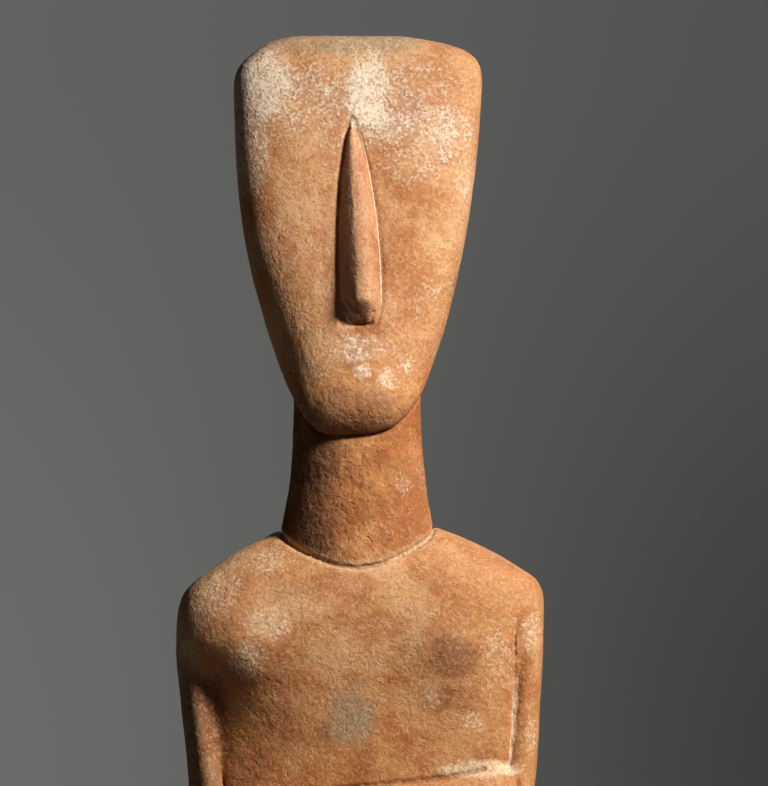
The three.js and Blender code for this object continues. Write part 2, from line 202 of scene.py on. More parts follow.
class Value:
    """A shader socket that can be added, multiplied and so on."""

    def __init__(self, shader, socket):
        self.shader = shader
        self.socket = socket

    def maths(self, operation, *values, clamp=False):
        settings = {"operation": operation, "use_clamp": clamp}
        return self.shader.node("ShaderNodeMath", settings, {i: v for i, v in enumerate(values)})

    def __add__(self, other):
        return self.maths("ADD", self, other)

    def __sub__(self, other):
        return self.maths("SUBTRACT", self, other)

    def __mul__(self, other):
        return self.maths("MULTIPLY", self, other)

    def __rsub__(self, other):
        return self.maths("SUBTRACT", other, self)

    __radd__ = __add__
    __rmul__ = __mul__

    def __abs__(self):
        return self.maths("ABSOLUTE", self)

    def at_least(self, other):
        return self.maths("MAXIMUM", self, other)

    def between(self, low, high):
        """0 below low, 1 above high, and a smooth step in between. It falls where low is above high."""
        settings = {"interpolation_type": "SMOOTHSTEP"}
        inputs = {"Value": self, "From Min": low, "From Max": high}
        return self.shader.node("ShaderNodeMapRange", settings, inputs)

    def inside(self, band):
        """1 inside a band: it rises between the band's first two numbers and falls between its last two."""
        return self.between(band[0], band[1]) * self.between(band[3], band[2])


class Shader:
    """The node tree of one material or world."""

    def __init__(self, owner):
        owner.use_nodes = True
        self.tree = owner.node_tree
        self.tree.nodes.clear()

    def node(self, kind, settings=None, inputs=None, output=0):
        """Adds a node. Its settings come first, then the values or links of its sockets."""
        made = self.tree.nodes.new(kind)
        for key, value in (settings or {}).items():
            setattr(made, key, value)
        for key, value in (inputs or {}).items():
            if isinstance(value, Value):
                self.tree.links.new(value.socket, made.inputs[key])
            else:
                made.inputs[key].default_value = value
        return Value(self, made.outputs[output])

    def finish(self, kind, inputs, output_kind):
        """Ends the tree with this shader on its surface."""
        shader = self.node(kind, None, inputs)
        output = self.tree.nodes.new(output_kind)
        self.tree.links.new(shader.socket, output.inputs["Surface"])

    def place(self):
        return self.node("ShaderNodeTexCoord", output="Object")

    def stretched(self, place, scale):
        return self.node("ShaderNodeMapping", None, {"Vector": place, "Scale": scale})

    def shifted(self, place, by):
        return self.node("ShaderNodeMapping", None, {"Vector": place, "Location": by})

    def noise(self, place, size, detail=2.0, rough=0.5, twist=0.0):
        """Soft noise with lumps of about this size in metres."""
        inputs = {"Vector": place, "Scale": 1 / size, "Detail": detail}
        inputs |= {"Roughness": rough, "Distortion": twist}
        return self.node("ShaderNodeTexNoise", None, inputs)

    def grains(self, place, size):
        """A chance value for each grain of about this size in metres."""
        inputs = {"Vector": place, "Scale": 1 / size}
        return self.parts(self.node("ShaderNodeTexVoronoi", None, inputs, output="Color"))[0]

    def attribute(self, name):
        return self.node("ShaderNodeAttribute", {"attribute_name": name}, output="Fac")

    def mix(self, share, first, second, blend="MIX"):
        """A colour between two others."""
        made = self.tree.nodes.new("ShaderNodeMix")
        made.data_type = "RGBA"
        made.blend_type = blend
        made.clamp_factor = True
        for index, value in ((0, share), (6, first), (7, second)):
            if isinstance(value, Value):
                self.tree.links.new(value.socket, made.inputs[index])
            else:
                made.inputs[index].default_value = value
        return Value(self, made.outputs[2])

    def parts(self, place):
        """The x, y and z of a place."""
        split = self.tree.nodes.new("ShaderNodeSeparateXYZ")
        self.tree.links.new(place.socket, split.inputs[0])
        return [Value(self, split.outputs[i]) for i in range(3)]


def rgb(colour):
    return (*colour, 1.0)


# Marble


# Places on the figure, in metres: heights over its toes, and sides from its middle plane, with the
# viewer's right positive. Two numbers are where a mask begins and where it is whole. Four are a band,
# with where it begins and is whole, and where it begins to end and has ended.

FRONT = (0.012, -0.004)
LEAN_FOOT = 0.5
HEAD_LEAN = 0.12
SEEN_IN_PHOTO = (0.36, 0.38)
CROWN = (0.622, 0.632)
HEAD_OVER_BODY = (0.47, 0.54)
JAW = (0.49, 0.505, 0.516, 0.536)

NOSE = (0.535, 0.541, 0.617, 0.622)
NOSE_SIDE = (0.0135, 0.0115)
NOSE_FLANK = (-0.0076, -0.0066, -0.0022, 0.0)
NOSE_PROUD = (-0.0038, -0.0052)
NOSE_TIP = 0.539
NOSE_ROOT = 0.612
NOSE_HALF_WIDTH = 0.0095
FACE_AT_ROOT = -0.004
FACE_SLOPE = 0.19
KEPT_NOSE = (0.535, 0.540, 0.610, 0.616)
KEPT_NOSE_SIDE = (0.0125, 0.0095)
KEPT_NOSE_DEPTH = (0.004, 0.0)

SCRATCH = (0.545, 0.552, 0.600, 0.612)
SCRATCH_SIDE = 0.0081
SCRATCH_FOOT = 0.549
SCRATCH_CURVE = 2.14
SCRATCH_EDGE = (0.0004, 0.0001)

NECK_FOOT = (0.4565, 0.4580)
NECK_FOOT_RISE = 17.5
NECK_TOP = (0.520, 0.506)
NECK_SHADE = (-0.003, -0.015)
PITTED_NECK = (0.462, 0.475, 0.505, 0.520)
COLLAR = (0.44, 0.45, 0.468, 0.474)

RIGHT_CHEST = (0.01, 0.045)
BELOW_BREASTS = (0.435, 0.40)
BELOW_NECK = (0.475, 0.45)
LOW_BODY = (0.46, 0.38)
SMOOTH_CHEST = (0.392, 0.452)

RIGHT_ARM = (0.045, 0.048)
RIGHT_ARM_FOOT = (0.384, 0.388)
ARM_LINE_SIDE = 0.0540
ARM_LINE_BEND = 0.439
ARM_LINE_CURVE = 0.77
ARM_LINE_END = 0.441
ARM_LINE_REACH = 0.0013
LEFT_ARM = (-0.045, -0.048)
LEFT_ARM_FOOT = (0.37, 0.38)
LEFT_ARM_SHADE = (-0.043, -0.049)
LEFT_ARM_SHADE_TOP = (0.43, 0.41)
LEFT_ARM_SMOOTH = 0.384

# Tints that the colours beneath are multiplied by. The warmer one is partly painted shade

WARM_TINT_AND_SHADE = (0.87, 0.75, 0.57)
NOSE_TINT = (0.84, 0.80, 0.84)

# Patches on the figure's front: x, height over the toes, half width, half height (mm) and strength. Some
# are partly painted highlight or painted shade

CRUST_AND_HIGHLIGHT_PATCHES = (
    (3, 621, 11, 20, 1.05),
    (10, 609, 17, 10, 0.62),
    (-2, 618, 56, 26, 0.42),
    (-34, 624, 18, 19, 0.95),
    (-38, 602, 10, 27, 0.7),
    (27, 608, 20, 13, 0.6),
    (22, 598, 20, 12, 0.42),
    (38, 590, 8, 22, 0.35),
    (1.4, 524, 5, 4, 0.62),
    (10.4, 521.5, 5.5, 5, 0.75),
    (16.5, 526, 4.5, 5, 0.5),
    (-2, 531.5, 20, 7, 0.45),
    (-15, 525, 12, 8, 0.35),
    (14.2, 485, 6, 6, 0.27),
    (8, 470, 9, 5, 0.22),
    (-49, 449, 12, 15, 0.6),
    (-34, 458.5, 20, 7, 0.5),
    # Left breast: crust that is partly a painted highlight where the breast faces the light
    (-31, 437.5, 13, 9, 0.75),
    (-38, 425, 9, 10, 0.65),
    (39.8, 403.4, 6, 5.5, 0.55),
    (25, 412, 7, 6, 0.4),
    (47, 425, 8, 18, 0.4),
    (60, 434, 5, 11, 0.5),
    (60, 398, 5, 9, 0.55),
    # Forearm's top edge: crust and a painted highlight where the edge faces up
    (42, 387.2, 21, 4.4, 1.1),
)
STAIN_AND_SHADE_PATCHES = (
    (33.5, 426, 14, 11, 0.85),
    (30, 411, 20, 8, 0.55),
    (-22, 399, 22, 13, 0.4),
    (-46, 400, 9, 22, 0.5),
    (41, 391, 15, 7, 0.35),
    # Under the chin: a brown stain that is partly painted shade where the chin turns under
    (-5, 512, 26, 10, 0.8),
)
GREY_FILM_AND_SHADE_PATCHES = (
    (-2.5, 405.5, 15, 17, 0.68),
    (-24, 447, 13, 6, 0.6),
    # Left arm: grey film, partly painted shade over the arm
    (-60, 420, 9, 55, 0.8),
    # Crown: greyish tone, partly painted shade where the top turns back
    (-4, 641, 46, 12, 1.0),
)


def patches(x, z, rows):
    """How deep inside the deepest of some patches: 1 in its middle, and 0 outside them all."""
    deepest = None
    for across, height, half_width, half_height, strength in rows:
        aside = (x - across / 1000) * (1000 / half_width)
        above = (z - figure_low.z - height / 1000) * (1000 / half_height)
        depth = (aside * aside + above * above).between(1.0, 0.0) * strength
        deepest = depth if deepest is None else deepest.at_least(depth)
    return deepest


def drift(*rows):
    """Noises by their weights, each measured from its middle, added up."""
    total = None
    for noise, weight in rows:
        part = (noise - 0.5) * weight
        total = part if total is None else total + part
    return total


class MarblePatterns:
    """The places, noises and marks that the marble's coats share."""

    def __init__(self, s):
        self.place = s.place()
        self.x, self.y, self.z = s.parts(self.place)
        self.height = self.z - figure_low.z
        lean = (self.height - LEAN_FOOT).at_least(0.0) * HEAD_LEAN
        self.front = (self.y - lean).between(*FRONT)
        neck_foot = self.height - self.x * self.x * NECK_FOOT_RISE
        self.neck = neck_foot.between(*NECK_FOOT) * self.height.between(*NECK_TOP)
        self.nose = self.height.inside(NOSE) * abs(self.x).between(*NOSE_SIDE) * self.front

        self.broad = s.noise(self.place, 0.06, 3.0, 0.55)
        self.mottle = s.noise(s.shifted(self.place, (0.4, 0.9, 0.2)), 0.018, 3.0, 0.5, 0.25)
        self.cloud = s.noise(s.shifted(self.place, (1.3, 2.1, 0.7)), 0.0085, 3.0, 0.55)
        self.blotch = s.noise(s.shifted(self.place, (3.1, 1.7, 0.4)), 0.0038, 2.0, 0.55)
        self.grit = s.noise(s.shifted(self.place, (0.6, 4.2, 1.1)), 0.0019, 2.0, 0.6)
        self.fine = s.noise(self.place, 0.0009, 2.0, 0.6)
        self.grains = s.grains(self.place, 0.00085)

        # The marble paints shade, with some soiling, on the hollows and on what faces down
        self.hollow = s.attribute("hollow")
        self.worn = s.attribute("worn")
        self.line = s.attribute("line")
        self.beside = s.attribute("beside")
        self.under = s.attribute("under")


def patina(s, p, settings):
    """The orange-brown skin, from light to deep, pinkish in some places and yellowish in others."""
    depth = drift((p.broad, 1.15), (p.mottle, 1.15), (p.cloud, 0.8), (p.blotch, 0.35))
    depth = depth + p.height.between(*LOW_BODY) * 0.06 + p.neck * 0.08
    colour = s.mix((depth + 0.5).between(0.28, 0.62), rgb(settings.patina_light), rgb(settings.patina))
    colour = s.mix((depth + 0.5).between(0.5, 0.86) * 0.85, colour, rgb(settings.patina_deep))
    rosy = s.noise(s.shifted(p.place, (7.0, 0.3, 3.0)), 0.024, 3.0, 0.5).between(0.5, 0.68)
    colour = s.mix(rosy * 0.35, colour, rgb(settings.rosy))
    ochre = s.noise(s.shifted(p.place, (2.0, 6.3, 5.0)), 0.011, 3.0, 0.55).between(0.5, 0.7)
    return s.mix(ochre * 0.3, colour, rgb(settings.ochre))


def stains(s, p, settings, colour):
    """Brown stains, a browner neck, and warmer skin on the chest and under the jaw, partly painted shade.
    """
    stained_and_shaded = patches(p.x, p.z, STAIN_AND_SHADE_PATCHES)
    ragged = drift((p.cloud, 1.1), (p.blotch, 0.5))
    # The stain under the chin is partly painted shade
    stain = (stained_and_shaded + ragged).between(0.2, 0.9) * stained_and_shaded.between(0.0, 0.3)
    colour = s.mix(stain * p.front * 0.85, colour, rgb(settings.stain))
    browner = p.neck * (p.blotch.between(0.42, 0.66) * 0.25 + p.mottle.between(0.4, 0.6) * 0.25)
    colour = s.mix(browner, colour, rgb(settings.stain))
    # Warmer tone and painted shade: right of the chest, below the breasts, the neck and under the jaw
    warm_and_shade = p.x.between(*RIGHT_CHEST).at_least(p.height.between(*BELOW_BREASTS))
    warm_and_shade = warm_and_shade * p.height.between(*BELOW_NECK)
    warm_and_shade = warm_and_shade.at_least(p.neck * 0.85).at_least(p.height.inside(JAW) * 1.25)
    return s.mix(warm_and_shade, colour, rgb(WARM_TINT_AND_SHADE), "MULTIPLY")


# Greyish film, partly painted shade on the left arm and across the crown
def grey_film_and_shade(s, p, settings, colour):
    filmed_and_shaded = patches(p.x, p.z, GREY_FILM_AND_SHADE_PATCHES)
    ragged = drift((p.cloud, 1.2), (p.mottle, 0.8), (p.grit, 0.5))
    grey = (filmed_and_shaded + ragged).between(0.2, 1.0) * filmed_and_shaded.between(0.0, 0.35)
    return s.mix(grey * p.front * 0.75, colour, rgb(settings.grey_film_and_shade))


def crust_and_veil(s, p):
    """Where pale crust, partly painted highlight, lies in flecks and as a veil: thick on the forehead, thin
    elsewhere.
    """
    deep = patches(p.x, p.z, CRUST_AND_HIGHLIGHT_PATCHES) * p.front
    elsewhere = s.noise(s.shifted(p.place, (0.9, 5.2, 2.6)), 0.07, 4.0, 0.62).between(0.52, 0.78)
    seen = p.front * p.height.between(*SEEN_IN_PHOTO)
    deep = deep.at_least(elsewhere * (0.75 - seen * 0.45))
    flecks = drift((p.mottle, 0.6), (p.cloud, 1.0), (p.blotch, 0.6), (p.fine, 0.3), (p.grains, 0.6))
    # The crust is partly a painted highlight on the left breast and the forearm's top edge
    crust = (deep * 1.1 + flecks).between(0.22, 1.25) * deep.between(0.0, 0.25)
    haze = drift((p.cloud, 1.2), (p.mottle, 1.0))
    veil = (deep * 1.2 + haze).between(0.2, 1.1) * deep.between(0.0, 0.3)
    return crust, veil


def crusted(s, p, settings, colour, crust, veil):
    pale = s.mix(p.height.between(*HEAD_OVER_BODY), rgb(settings.thin_crust), rgb(settings.crust))
    return s.mix((crust * 0.92).at_least(veil * 0.4), colour, pale)


def painted_shade_and_grime(s, p, settings, colour):
    """Painted shade on the neck's left side. Dirt with painted shade on the left arm and on what faces
    down.
    """
    by_neck = p.x.between(*NECK_SHADE) * p.neck * (0.55 + p.cloud.between(0.35, 0.6) * 0.25)
    by_arm = p.x.between(*LEFT_ARM_SHADE) * p.height.between(*LEFT_ARM_SHADE_TOP) * 0.62
    # Painted shade, with some soiling on the left arm and on what faces down
    shade_and_dirt = by_neck.at_least(by_arm).at_least(p.under * p.front * 0.6)
    return s.mix(shade_and_dirt, colour, rgb(settings.dirt_and_shade))


def nose_tints(s, p, settings, colour):
    """A greyer nose, with a reddish left flank, painted lighter as painted bounce light in its shade."""
    off_face = p.y + (NOSE_ROOT - p.height) * FACE_SLOPE
    proud = p.nose * off_face.between(*NOSE_PROUD)
    flank = proud * p.x.inside(NOSE_FLANK)
    colour = s.mix(proud * (1 - flank) * 0.8, colour, rgb(NOSE_TINT), "MULTIPLY")
    # The left flank's reddish tone, lightened as painted bounce light in its shade
    return s.mix(flank * 0.75, colour, rgb(settings.flank))


def incised_lines(s, p, settings, colour):
    """Dirt and painted shade darken the lines and hollows; lines are pale with crust at the right arm, and
    pale beside the neck's foot.
    """
    right_arm = p.x.between(*RIGHT_ARM) * p.height.between(*RIGHT_ARM_FOOT)
    left_arm = p.x.between(*LEFT_ARM) * p.height.between(*LEFT_ARM_FOOT)
    clean = right_arm.at_least(p.nose * 0.7).at_least(left_arm * 0.8)
    # Hollows darkened with painted shade and some soiling
    colour = s.mix(p.hollow * (1 - clean) * 0.35, colour, rgb(settings.dirt_and_shade))
    lip = (p.beside - p.line) * p.height.inside(COLLAR) * 0.5
    colour = s.mix(lip, colour, rgb(settings.grain_light))
    # Lines darkened in their depth with painted shadow and some soiling
    dark = p.line * (1 - right_arm) * (1 - p.nose * 0.8) * 0.75
    colour = s.mix(dark, colour, rgb(settings.dirt_and_shade))
    pale = p.line * right_arm * (p.blotch.between(0.4, 0.55) * 0.4 + 0.4)
    return s.mix(pale, colour, rgb(settings.crust))


def scratch_beside_nose(p):
    """Where the thin pale line runs down beside the nose."""
    above = p.height - SCRATCH_FOOT
    aside = (p.x - SCRATCH_SIDE) + above * above * SCRATCH_CURVE
    scratch = abs(aside).between(*SCRATCH_EDGE) * p.height.inside(SCRATCH)
    return scratch * (p.grit.between(0.3, 0.6) * 0.5 + 0.5) * p.front


def grainy(s, p, settings, colour):
    """Rubbed edges, then the light and dark grains of the marble."""
    colour = s.mix(p.worn * p.mottle.between(0.35, 0.6) * 0.35, colour, rgb(settings.patina_light))
    soft = 1 - p.neck * 0.45
    colour = s.mix(p.grains.between(0.55, 1.0) * soft * 0.22, colour, rgb(settings.grain_light))
    colour = s.mix(p.grains.between(0.45, 0.0) * soft * 0.24, colour, rgb(settings.grain_shadow))
    return s.mix(p.fine.between(0.48, 0.3) * 0.3, colour, rgb(settings.grain_shadow))


def fine_relief(s, p, crust, scratch):
    """Relief that is too fine for the mesh, in shares of the grain relief. The neck is rougher."""
    rough = 0.4 + p.neck * 0.35
    pits = s.noise(s.shifted(p.place, (2.2, 0.1, 6.3)), 0.0024, 2.0, 0.55, 0.6).between(0.6, 0.78)
    relief = p.fine * 0.22 + p.grains * 0.06 + p.grit * 0.6 * rough + p.blotch * 1.1 * rough
    return relief - pits * 0.4 * rough + crust * 0.08 - scratch * 0.2


def weathered_marble(settings):
    material = bpy.data.materials.new("Weathered marble")
    s = Shader(material)
    p = MarblePatterns(s)
    crust, veil = crust_and_veil(s, p)
    scratch = scratch_beside_nose(p)

    colour = patina(s, p, settings)
    colour = stains(s, p, settings, colour)
    colour = grey_film_and_shade(s, p, settings, colour)
    colour = crusted(s, p, settings, colour, crust, veil)
    colour = painted_shade_and_grime(s, p, settings, colour)
    colour = nose_tints(s, p, settings, colour)
    colour = incised_lines(s, p, settings, colour)
    colour = s.mix(scratch * 0.7, colour, rgb(settings.crust))
    colour = grainy(s, p, settings, colour)

    relief = fine_relief(s, p, crust, scratch)
    inputs = {"Strength": 1.0, "Distance": settings.grain_relief, "Height": relief}
    bump = s.node("ShaderNodeBump", None, inputs)
    inputs = {
        "Base Color": colour,
        "Roughness": 0.82 - p.worn * 0.12 + crust * 0.08,
        "Normal": bump,
        "Specular IOR Level": 0.3,
    }
    s.finish("ShaderNodeBsdfPrincipled", inputs, "ShaderNodeOutputMaterial")
    return material


def honed_stone(settings):
    material = bpy.data.materials.new("Honed dark stone")
    s = Shader(material)
    place = s.place()
    cloud = s.noise(place, 0.03, 5.0, 0.6, 0.5)
    speck = s.noise(place, 0.0011, 2.0, 0.7)
    vein = s.noise(s.stretched(place, (1.0, 1.6, 0.7)), 0.05, 6.0, 0.55, 1.2)
    worn = s.attribute("worn")
    colour = s.mix(cloud.between(0.35, 0.7), rgb(settings.colour), rgb(settings.cloud_colour))
    colour = s.mix(speck.between(0.58, 0.72) * 0.35, colour, rgb(settings.speck_colour))
    line = abs(vein - 0.5).between(0.012, 0.002)
    colour = s.mix(line * 0.25, colour, rgb(settings.speck_colour))
    colour = s.mix(worn * 0.35, colour, rgb(settings.speck_colour))
    height = speck * 0.6 + cloud * 0.4
    bump = s.node("ShaderNodeBump", None, {"Strength": 0.35, "Distance": 0.0002, "Height": height})
    inputs = {
        "Base Color": colour,
        "Roughness": 0.42 + cloud * 0.16,
        "Normal": bump,
        "Specular IOR Level": 0.45,
    }
    s.finish("ShaderNodeBsdfPrincipled", inputs, "ShaderNodeOutputMaterial")
    return material


# Settings


def colour_setting(name, description, default):
    return bpy.props.FloatVectorProperty(
        name=name, description=description, default=default, subtype="COLOR", size=3, min=0.0, max=1.0
    )


def length_setting(name, description, default):
    return bpy.props.FloatProperty(
        name=name,
        description=description,
        default=default,
        subtype="DISTANCE",
        unit="LENGTH",
        min=0.0,
        precision=5,
    )


def count_setting(name, description, default, least, most):
    return bpy.props.IntProperty(name=name, description=description, default=default, min=least, max=most)


def power_setting(name, description, default):
    return bpy.props.FloatProperty(name=name, description=description, default=default, unit="POWER")


class FigureSettings(bpy.types.PropertyGroup):
    grid: length_setting("Carving grid", "Spacing of the points that the stone is remade on", 0.00065)
    triangles: count_setting("Triangles", "Triangles left in the finished figure", 190000, 20000, 199000)
    crease_guard: length_setting("Crease guard", "How far from a line the surface stays crisp", 0.0062)
    smoothing: count_setting("Smoothing", "How far the solid's facets are smoothed away", 130, 0, 400)
    wear: count_setting("Wear", "How much sharp edges are rounded", 2, 0, 20)
    fullness: length_setting("Fullness", "What smoothing took off the stone, added again", 0.0004)
    line_depth: length_setting("Line depth", "Depth of the incised lines", 0.0008)
    line_width: length_setting("Line width", "Half the width of the incised lines", 0.0013)
    swell: length_setting("Swell", "Depth of the broad unevenness left by hand grinding", 0.0007)
    pitting: length_setting("Pitting", "Depth of the weathered pits", 0.00028)
    grain_relief: length_setting("Grain relief", "Depth of the relief that the pattern draws", 0.001)
    patina: colour_setting("Patina", "Orange-brown skin of the marble", (0.54, 0.215, 0.072))
    patina_light: colour_setting("Thin patina", "Where the patina is thin or rubbed", (0.67, 0.345, 0.155))
    patina_deep: colour_setting("Deep patina", "Where the patina is deepest", (0.40, 0.13, 0.034))
    rosy: colour_setting("Rosy patina", "Where the patina is pinkish", (0.60, 0.27, 0.135))
    ochre: colour_setting("Ochre patina", "Where the patina is yellowish", (0.60, 0.33, 0.11))
    # Also the colour of painted highlights on the left breast and the forearm's top edge
    crust: colour_setting("Crust", "Pale lime crust", (0.95, 0.79, 0.58))
    thin_crust: colour_setting("Thin crust", "Pale crust on the body", (0.82, 0.58, 0.35))
    # Reddish tone with painted bounce light, lighter than the patina, on the nose's shaded left flank
    flank: colour_setting("Nose's flank", "The reddish left side of the nose", (0.84, 0.42, 0.25))
    # Also painted as shade on the left arm and across the crown
    grey_film_and_shade: colour_setting("Grey film", "Greyish film on the breastbone", (0.39, 0.28, 0.16))
    stain: colour_setting("Brown stain", "Brown stains", (0.30, 0.105, 0.034))
    # Also the colour of painted shade: hollows, lines, the neck's left side, the left arm and what faces
    # down
    dirt_and_shade: colour_setting("Dirt", "Dirt in the incised lines", (0.07, 0.028, 0.012))
    grain_light: colour_setting("Light grains", "Light grains of the marble", (0.82, 0.54, 0.30))
    grain_shadow: colour_setting("Dark grains", "Dark grains and pits", (0.22, 0.08, 0.026))


class PlinthSettings(bpy.types.PropertyGroup):
    edge_wear: length_setting("Edge wear", "Width of the rounding on the plinth's edges", 0.0008)
    colour: colour_setting("Stone", "Dark stone", (0.030, 0.029, 0.028))
    cloud_colour: colour_setting("Clouds", "Lighter clouds in the stone", (0.062, 0.060, 0.057))
    speck_colour: colour_setting("Specks", "Pale specks and rubbed edges", (0.17, 0.165, 0.155))


class StageSettings(bpy.types.PropertyGroup):
    floor_radius: length_setting("Floor radius", "Radius of the pale floor", 4.3)
    floor_colour: colour_setting("Floor", "Colour of the floor", (0.52, 0.51, 0.49))
    camera_distance: length_setting("Camera distance", "From the lens to the figure's middle plane", 3.0)
    frame_height: length_setting("Frame height", "Height of the picture at the figure", 0.27188)
    frame_middle: length_setting("Frame middle", "Height of the picture's middle", 0.5425)
    frame_side: length_setting("Frame side", "How far right of the figure the picture's middle is", 0.009)
    light_height: length_setting("Light height", "Height that the lights are aimed at", 0.47)
    key_power: power_setting("Key", "Light from the upper right", 2.9)
    fill_power: power_setting("Fill", "Faint light from the front", 0.07)
    back_power: power_setting("Back", "Soft light from behind", 1.2)


# Pieces


LINE_ANGLE = math.radians(13)  # a hollow edge of the solid sharper than this is an incised line
EDGE_ANGLE = math.radians(42)  # a raised edge sharper than this stays an edge
NOSE_EDGE_ANGLE = EDGE_ANGLE * 0.6
CREASE_STEP = 0.0006

SWELL_SIZE = 0.028
PIT_SIZE = 0.0026


def over_toes(points):
    """The height of each point over the figure's toes."""
    return points[:, 2] - figure_low.z


def by_right_arm(points, foot):
    """Which points are by the right arm's line, higher than this."""
    return (points[:, 0] > RIGHT_ARM[0]) & (over_toes(points) > foot)


def inside_band(values, band):
    """1 inside a band, as in the shader."""
    return smooth_step(values, band[0], band[1]) * smooth_step(-values, -band[3], -band[2])


class FIGURINE_OT_figure(bpy.types.Operator):
    """Remakes the carved figure as one weathered stone"""

    bl_idname = "figurine.figure"
    bl_label = "Weather the figure"

    def execute(self, context):
        settings = context.scene.figurine_figure
        stone = copy_of_solid("figure", "marble_figure")
        hollow, raised = self.creases(stone.data)
        finish_with(stone, "REMESH", mode="VOXEL", voxel_size=settings.grid, adaptivity=0.0)
        self.soften(stone, hollow + raised, settings)
        lines = on_surface(stone.data, hollow)
        self.engrave(stone.data, lines, settings)
        self.weather(stone, settings)
        self.thin_out(stone, lines, settings)
        self.note_wear_and_shading(stone, lines)
        stone.data.materials.append(weathered_marble(settings))
        select_only(stone)
        bpy.ops.object.shade_smooth()
        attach(stone, "root")
        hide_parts("figure")
        return {"FINISHED"}

    def creases(self, mesh):
        """Points along the solid's incised lines, and points along its raised edges."""
        faces = bmesh.new()
        faces.from_mesh(mesh)
        hollow, raised = [], []
        for edge in faces.edges:
            if len(edge.link_faces) != 2:
                continue
            angle = edge.calc_face_angle_signed(0.0)
            start, end = edge.verts[0].co, edge.verts[1].co
            middle = (start + end) / 2
            least = NOSE_EDGE_ANGLE if self.on_nose(middle) else EDGE_ANGLE
            if -LINE_ANGLE < angle < least or self.flows(middle):
                continue
            count = max(1, math.ceil((end - start).length / CREASE_STEP))
            line = [start.lerp(end, i / count) for i in range(count + 1)]
            (hollow if angle < 0 else raised).extend(line)
        faces.free()
        return hollow, raised

    def on_nose(self, point):
        """Whether a point of the solid is on the nose, out of the leaning face."""
        height = point.z - figure_low.z
        face = FACE_AT_ROOT - (NOSE_ROOT - height) * FACE_SLOPE
        return abs(point.x) < NOSE_HALF_WIDTH and NOSE_TIP < height < NOSE_ROOT and point.y < face

    def flows(self, point):
        """Whether the stone flows on here: the chest, and the arms away from the right arm's line."""
        height = point.z - figure_low.z
        if point.x > RIGHT_ARM[0] and height > RIGHT_ARM_FOOT[0]:
            line_side = ARM_LINE_SIDE - ARM_LINE_CURVE * (ARM_LINE_BEND - height) ** 2
            return height > ARM_LINE_END or abs(point.x - line_side) > ARM_LINE_REACH
        if point.x < LEFT_ARM[0]:
            return height > LEFT_ARM_SMOOTH
        return point.y < 0 and SMOOTH_CHEST[0] < height < SMOOTH_CHEST[1]

    def soften(self, stone, creases, settings):
        """The faceted solid becomes one smooth skin, with its incised lines and edges kept."""
        points = points_of(stone.data)
        away = distance_to(points, creases)
        height = over_toes(points)
        nose = smooth_step(-np.abs(points[:, 0]), -KEPT_NOSE_SIDE[0], -KEPT_NOSE_SIDE[1])
        nose *= inside_band(height, KEPT_NOSE)
        nose *= smooth_step(-points[:, 1], -KEPT_NOSE_DEPTH[0], -KEPT_NOSE_DEPTH[1])
        crown = smooth_step(height, *CROWN)
        kept = np.maximum(nose * 0.9, crown * 0.7)
        weight_group(stone, "smooth", smooth_step(away, 0.0012, settings.crease_guard) * (1 - kept))
        weight_group(stone, "wear", smooth_step(away, 0.0004, 0.002))
        finish_with(stone, "SMOOTH", factor=0.5, iterations=settings.smoothing, vertex_group="smooth")
        finish_with(stone, "SMOOTH", factor=0.5, iterations=settings.wear, vertex_group="wear")
        mesh = stone.data
        move_points(mesh, points_of(mesh) + normals_of(mesh) * settings.fullness)

    def engrave(self, mesh, lines, settings):
        """Cuts the incised lines again, crisp as they were carved, and shallow by the right arm."""
        points = points_of(mesh)
        away = distance_to(points, lines)
        share = np.where(by_right_arm(points, RIGHT_ARM_FOOT[0]), 0.25, 1.0)
        deep = settings.line_depth * smooth_step(-away, -settings.line_width, 0.0) * share
        move_points(mesh, points - normals_of(mesh) * deep[:, None])

    def weather(self, stone, settings):
        """Broad unevenness, then pits, which are deeper on the neck."""
        swell = bpy.data.textures.new("Hand grinding", "CLOUDS")
        swell.noise_scale = SWELL_SIZE
        swell.noise_depth = 2
        pits = bpy.data.textures.new("Pits", "CLOUDS")
        pits.noise_scale = PIT_SIZE
        pits.noise_depth = 3
        pits.contrast = 1.6
        neck = inside_band(over_toes(points_of(stone.data)), PITTED_NECK)
        weight_group(stone, "pitted", 0.34 + 0.46 * neck)
        swelling = {"texture": swell, "strength": settings.swell, "mid_level": 0.5}
        pitting = {"texture": pits, "strength": settings.pitting, "mid_level": 0.55}
        pitting["vertex_group"] = "pitted"
        for relief in (swelling, pitting):
            finish_with(stone, "DISPLACE", texture_coords="LOCAL", **relief)

    def thin_out(self, stone, lines, settings):
        """Fewer triangles where the stone is plain, and more along the incised lines."""
        away = distance_to(points_of(stone.data), lines)
        weight_group(stone, "plain", smooth_step(away, 0.0010, 0.0024))
        triangles = sum(len(face.vertices) - 2 for face in stone.data.polygons)
        ratio = settings.triangles / triangles
        finish_with(stone, "DECIMATE", decimate_type="COLLAPSE", ratio=ratio, vertex_group="plain")

    def note_wear_and_shading(self, stone, lines):
        """Marks the lines, the hollows, the worn edges and what faces down for the marble."""
        stone.vertex_groups.clear()
        mesh = stone.data
        points = points_of(mesh)
        away = distance_to(points, lines)
        bulge = bulge_of(mesh, 4)
        thin = np.where(by_right_arm(points, RIGHT_ARM_FOOT[1]), 0.6, 1.0)
        store(mesh, "line", smooth_step(-away / thin, -0.0010, -0.0002))
        store(mesh, "beside", smooth_step(-away, -0.0030, -0.0008))
        # The marble darkens the hollows with painted shade and some soiling
        store(mesh, "hollow", smooth_step(-bulge, 0.00004, 0.00025))
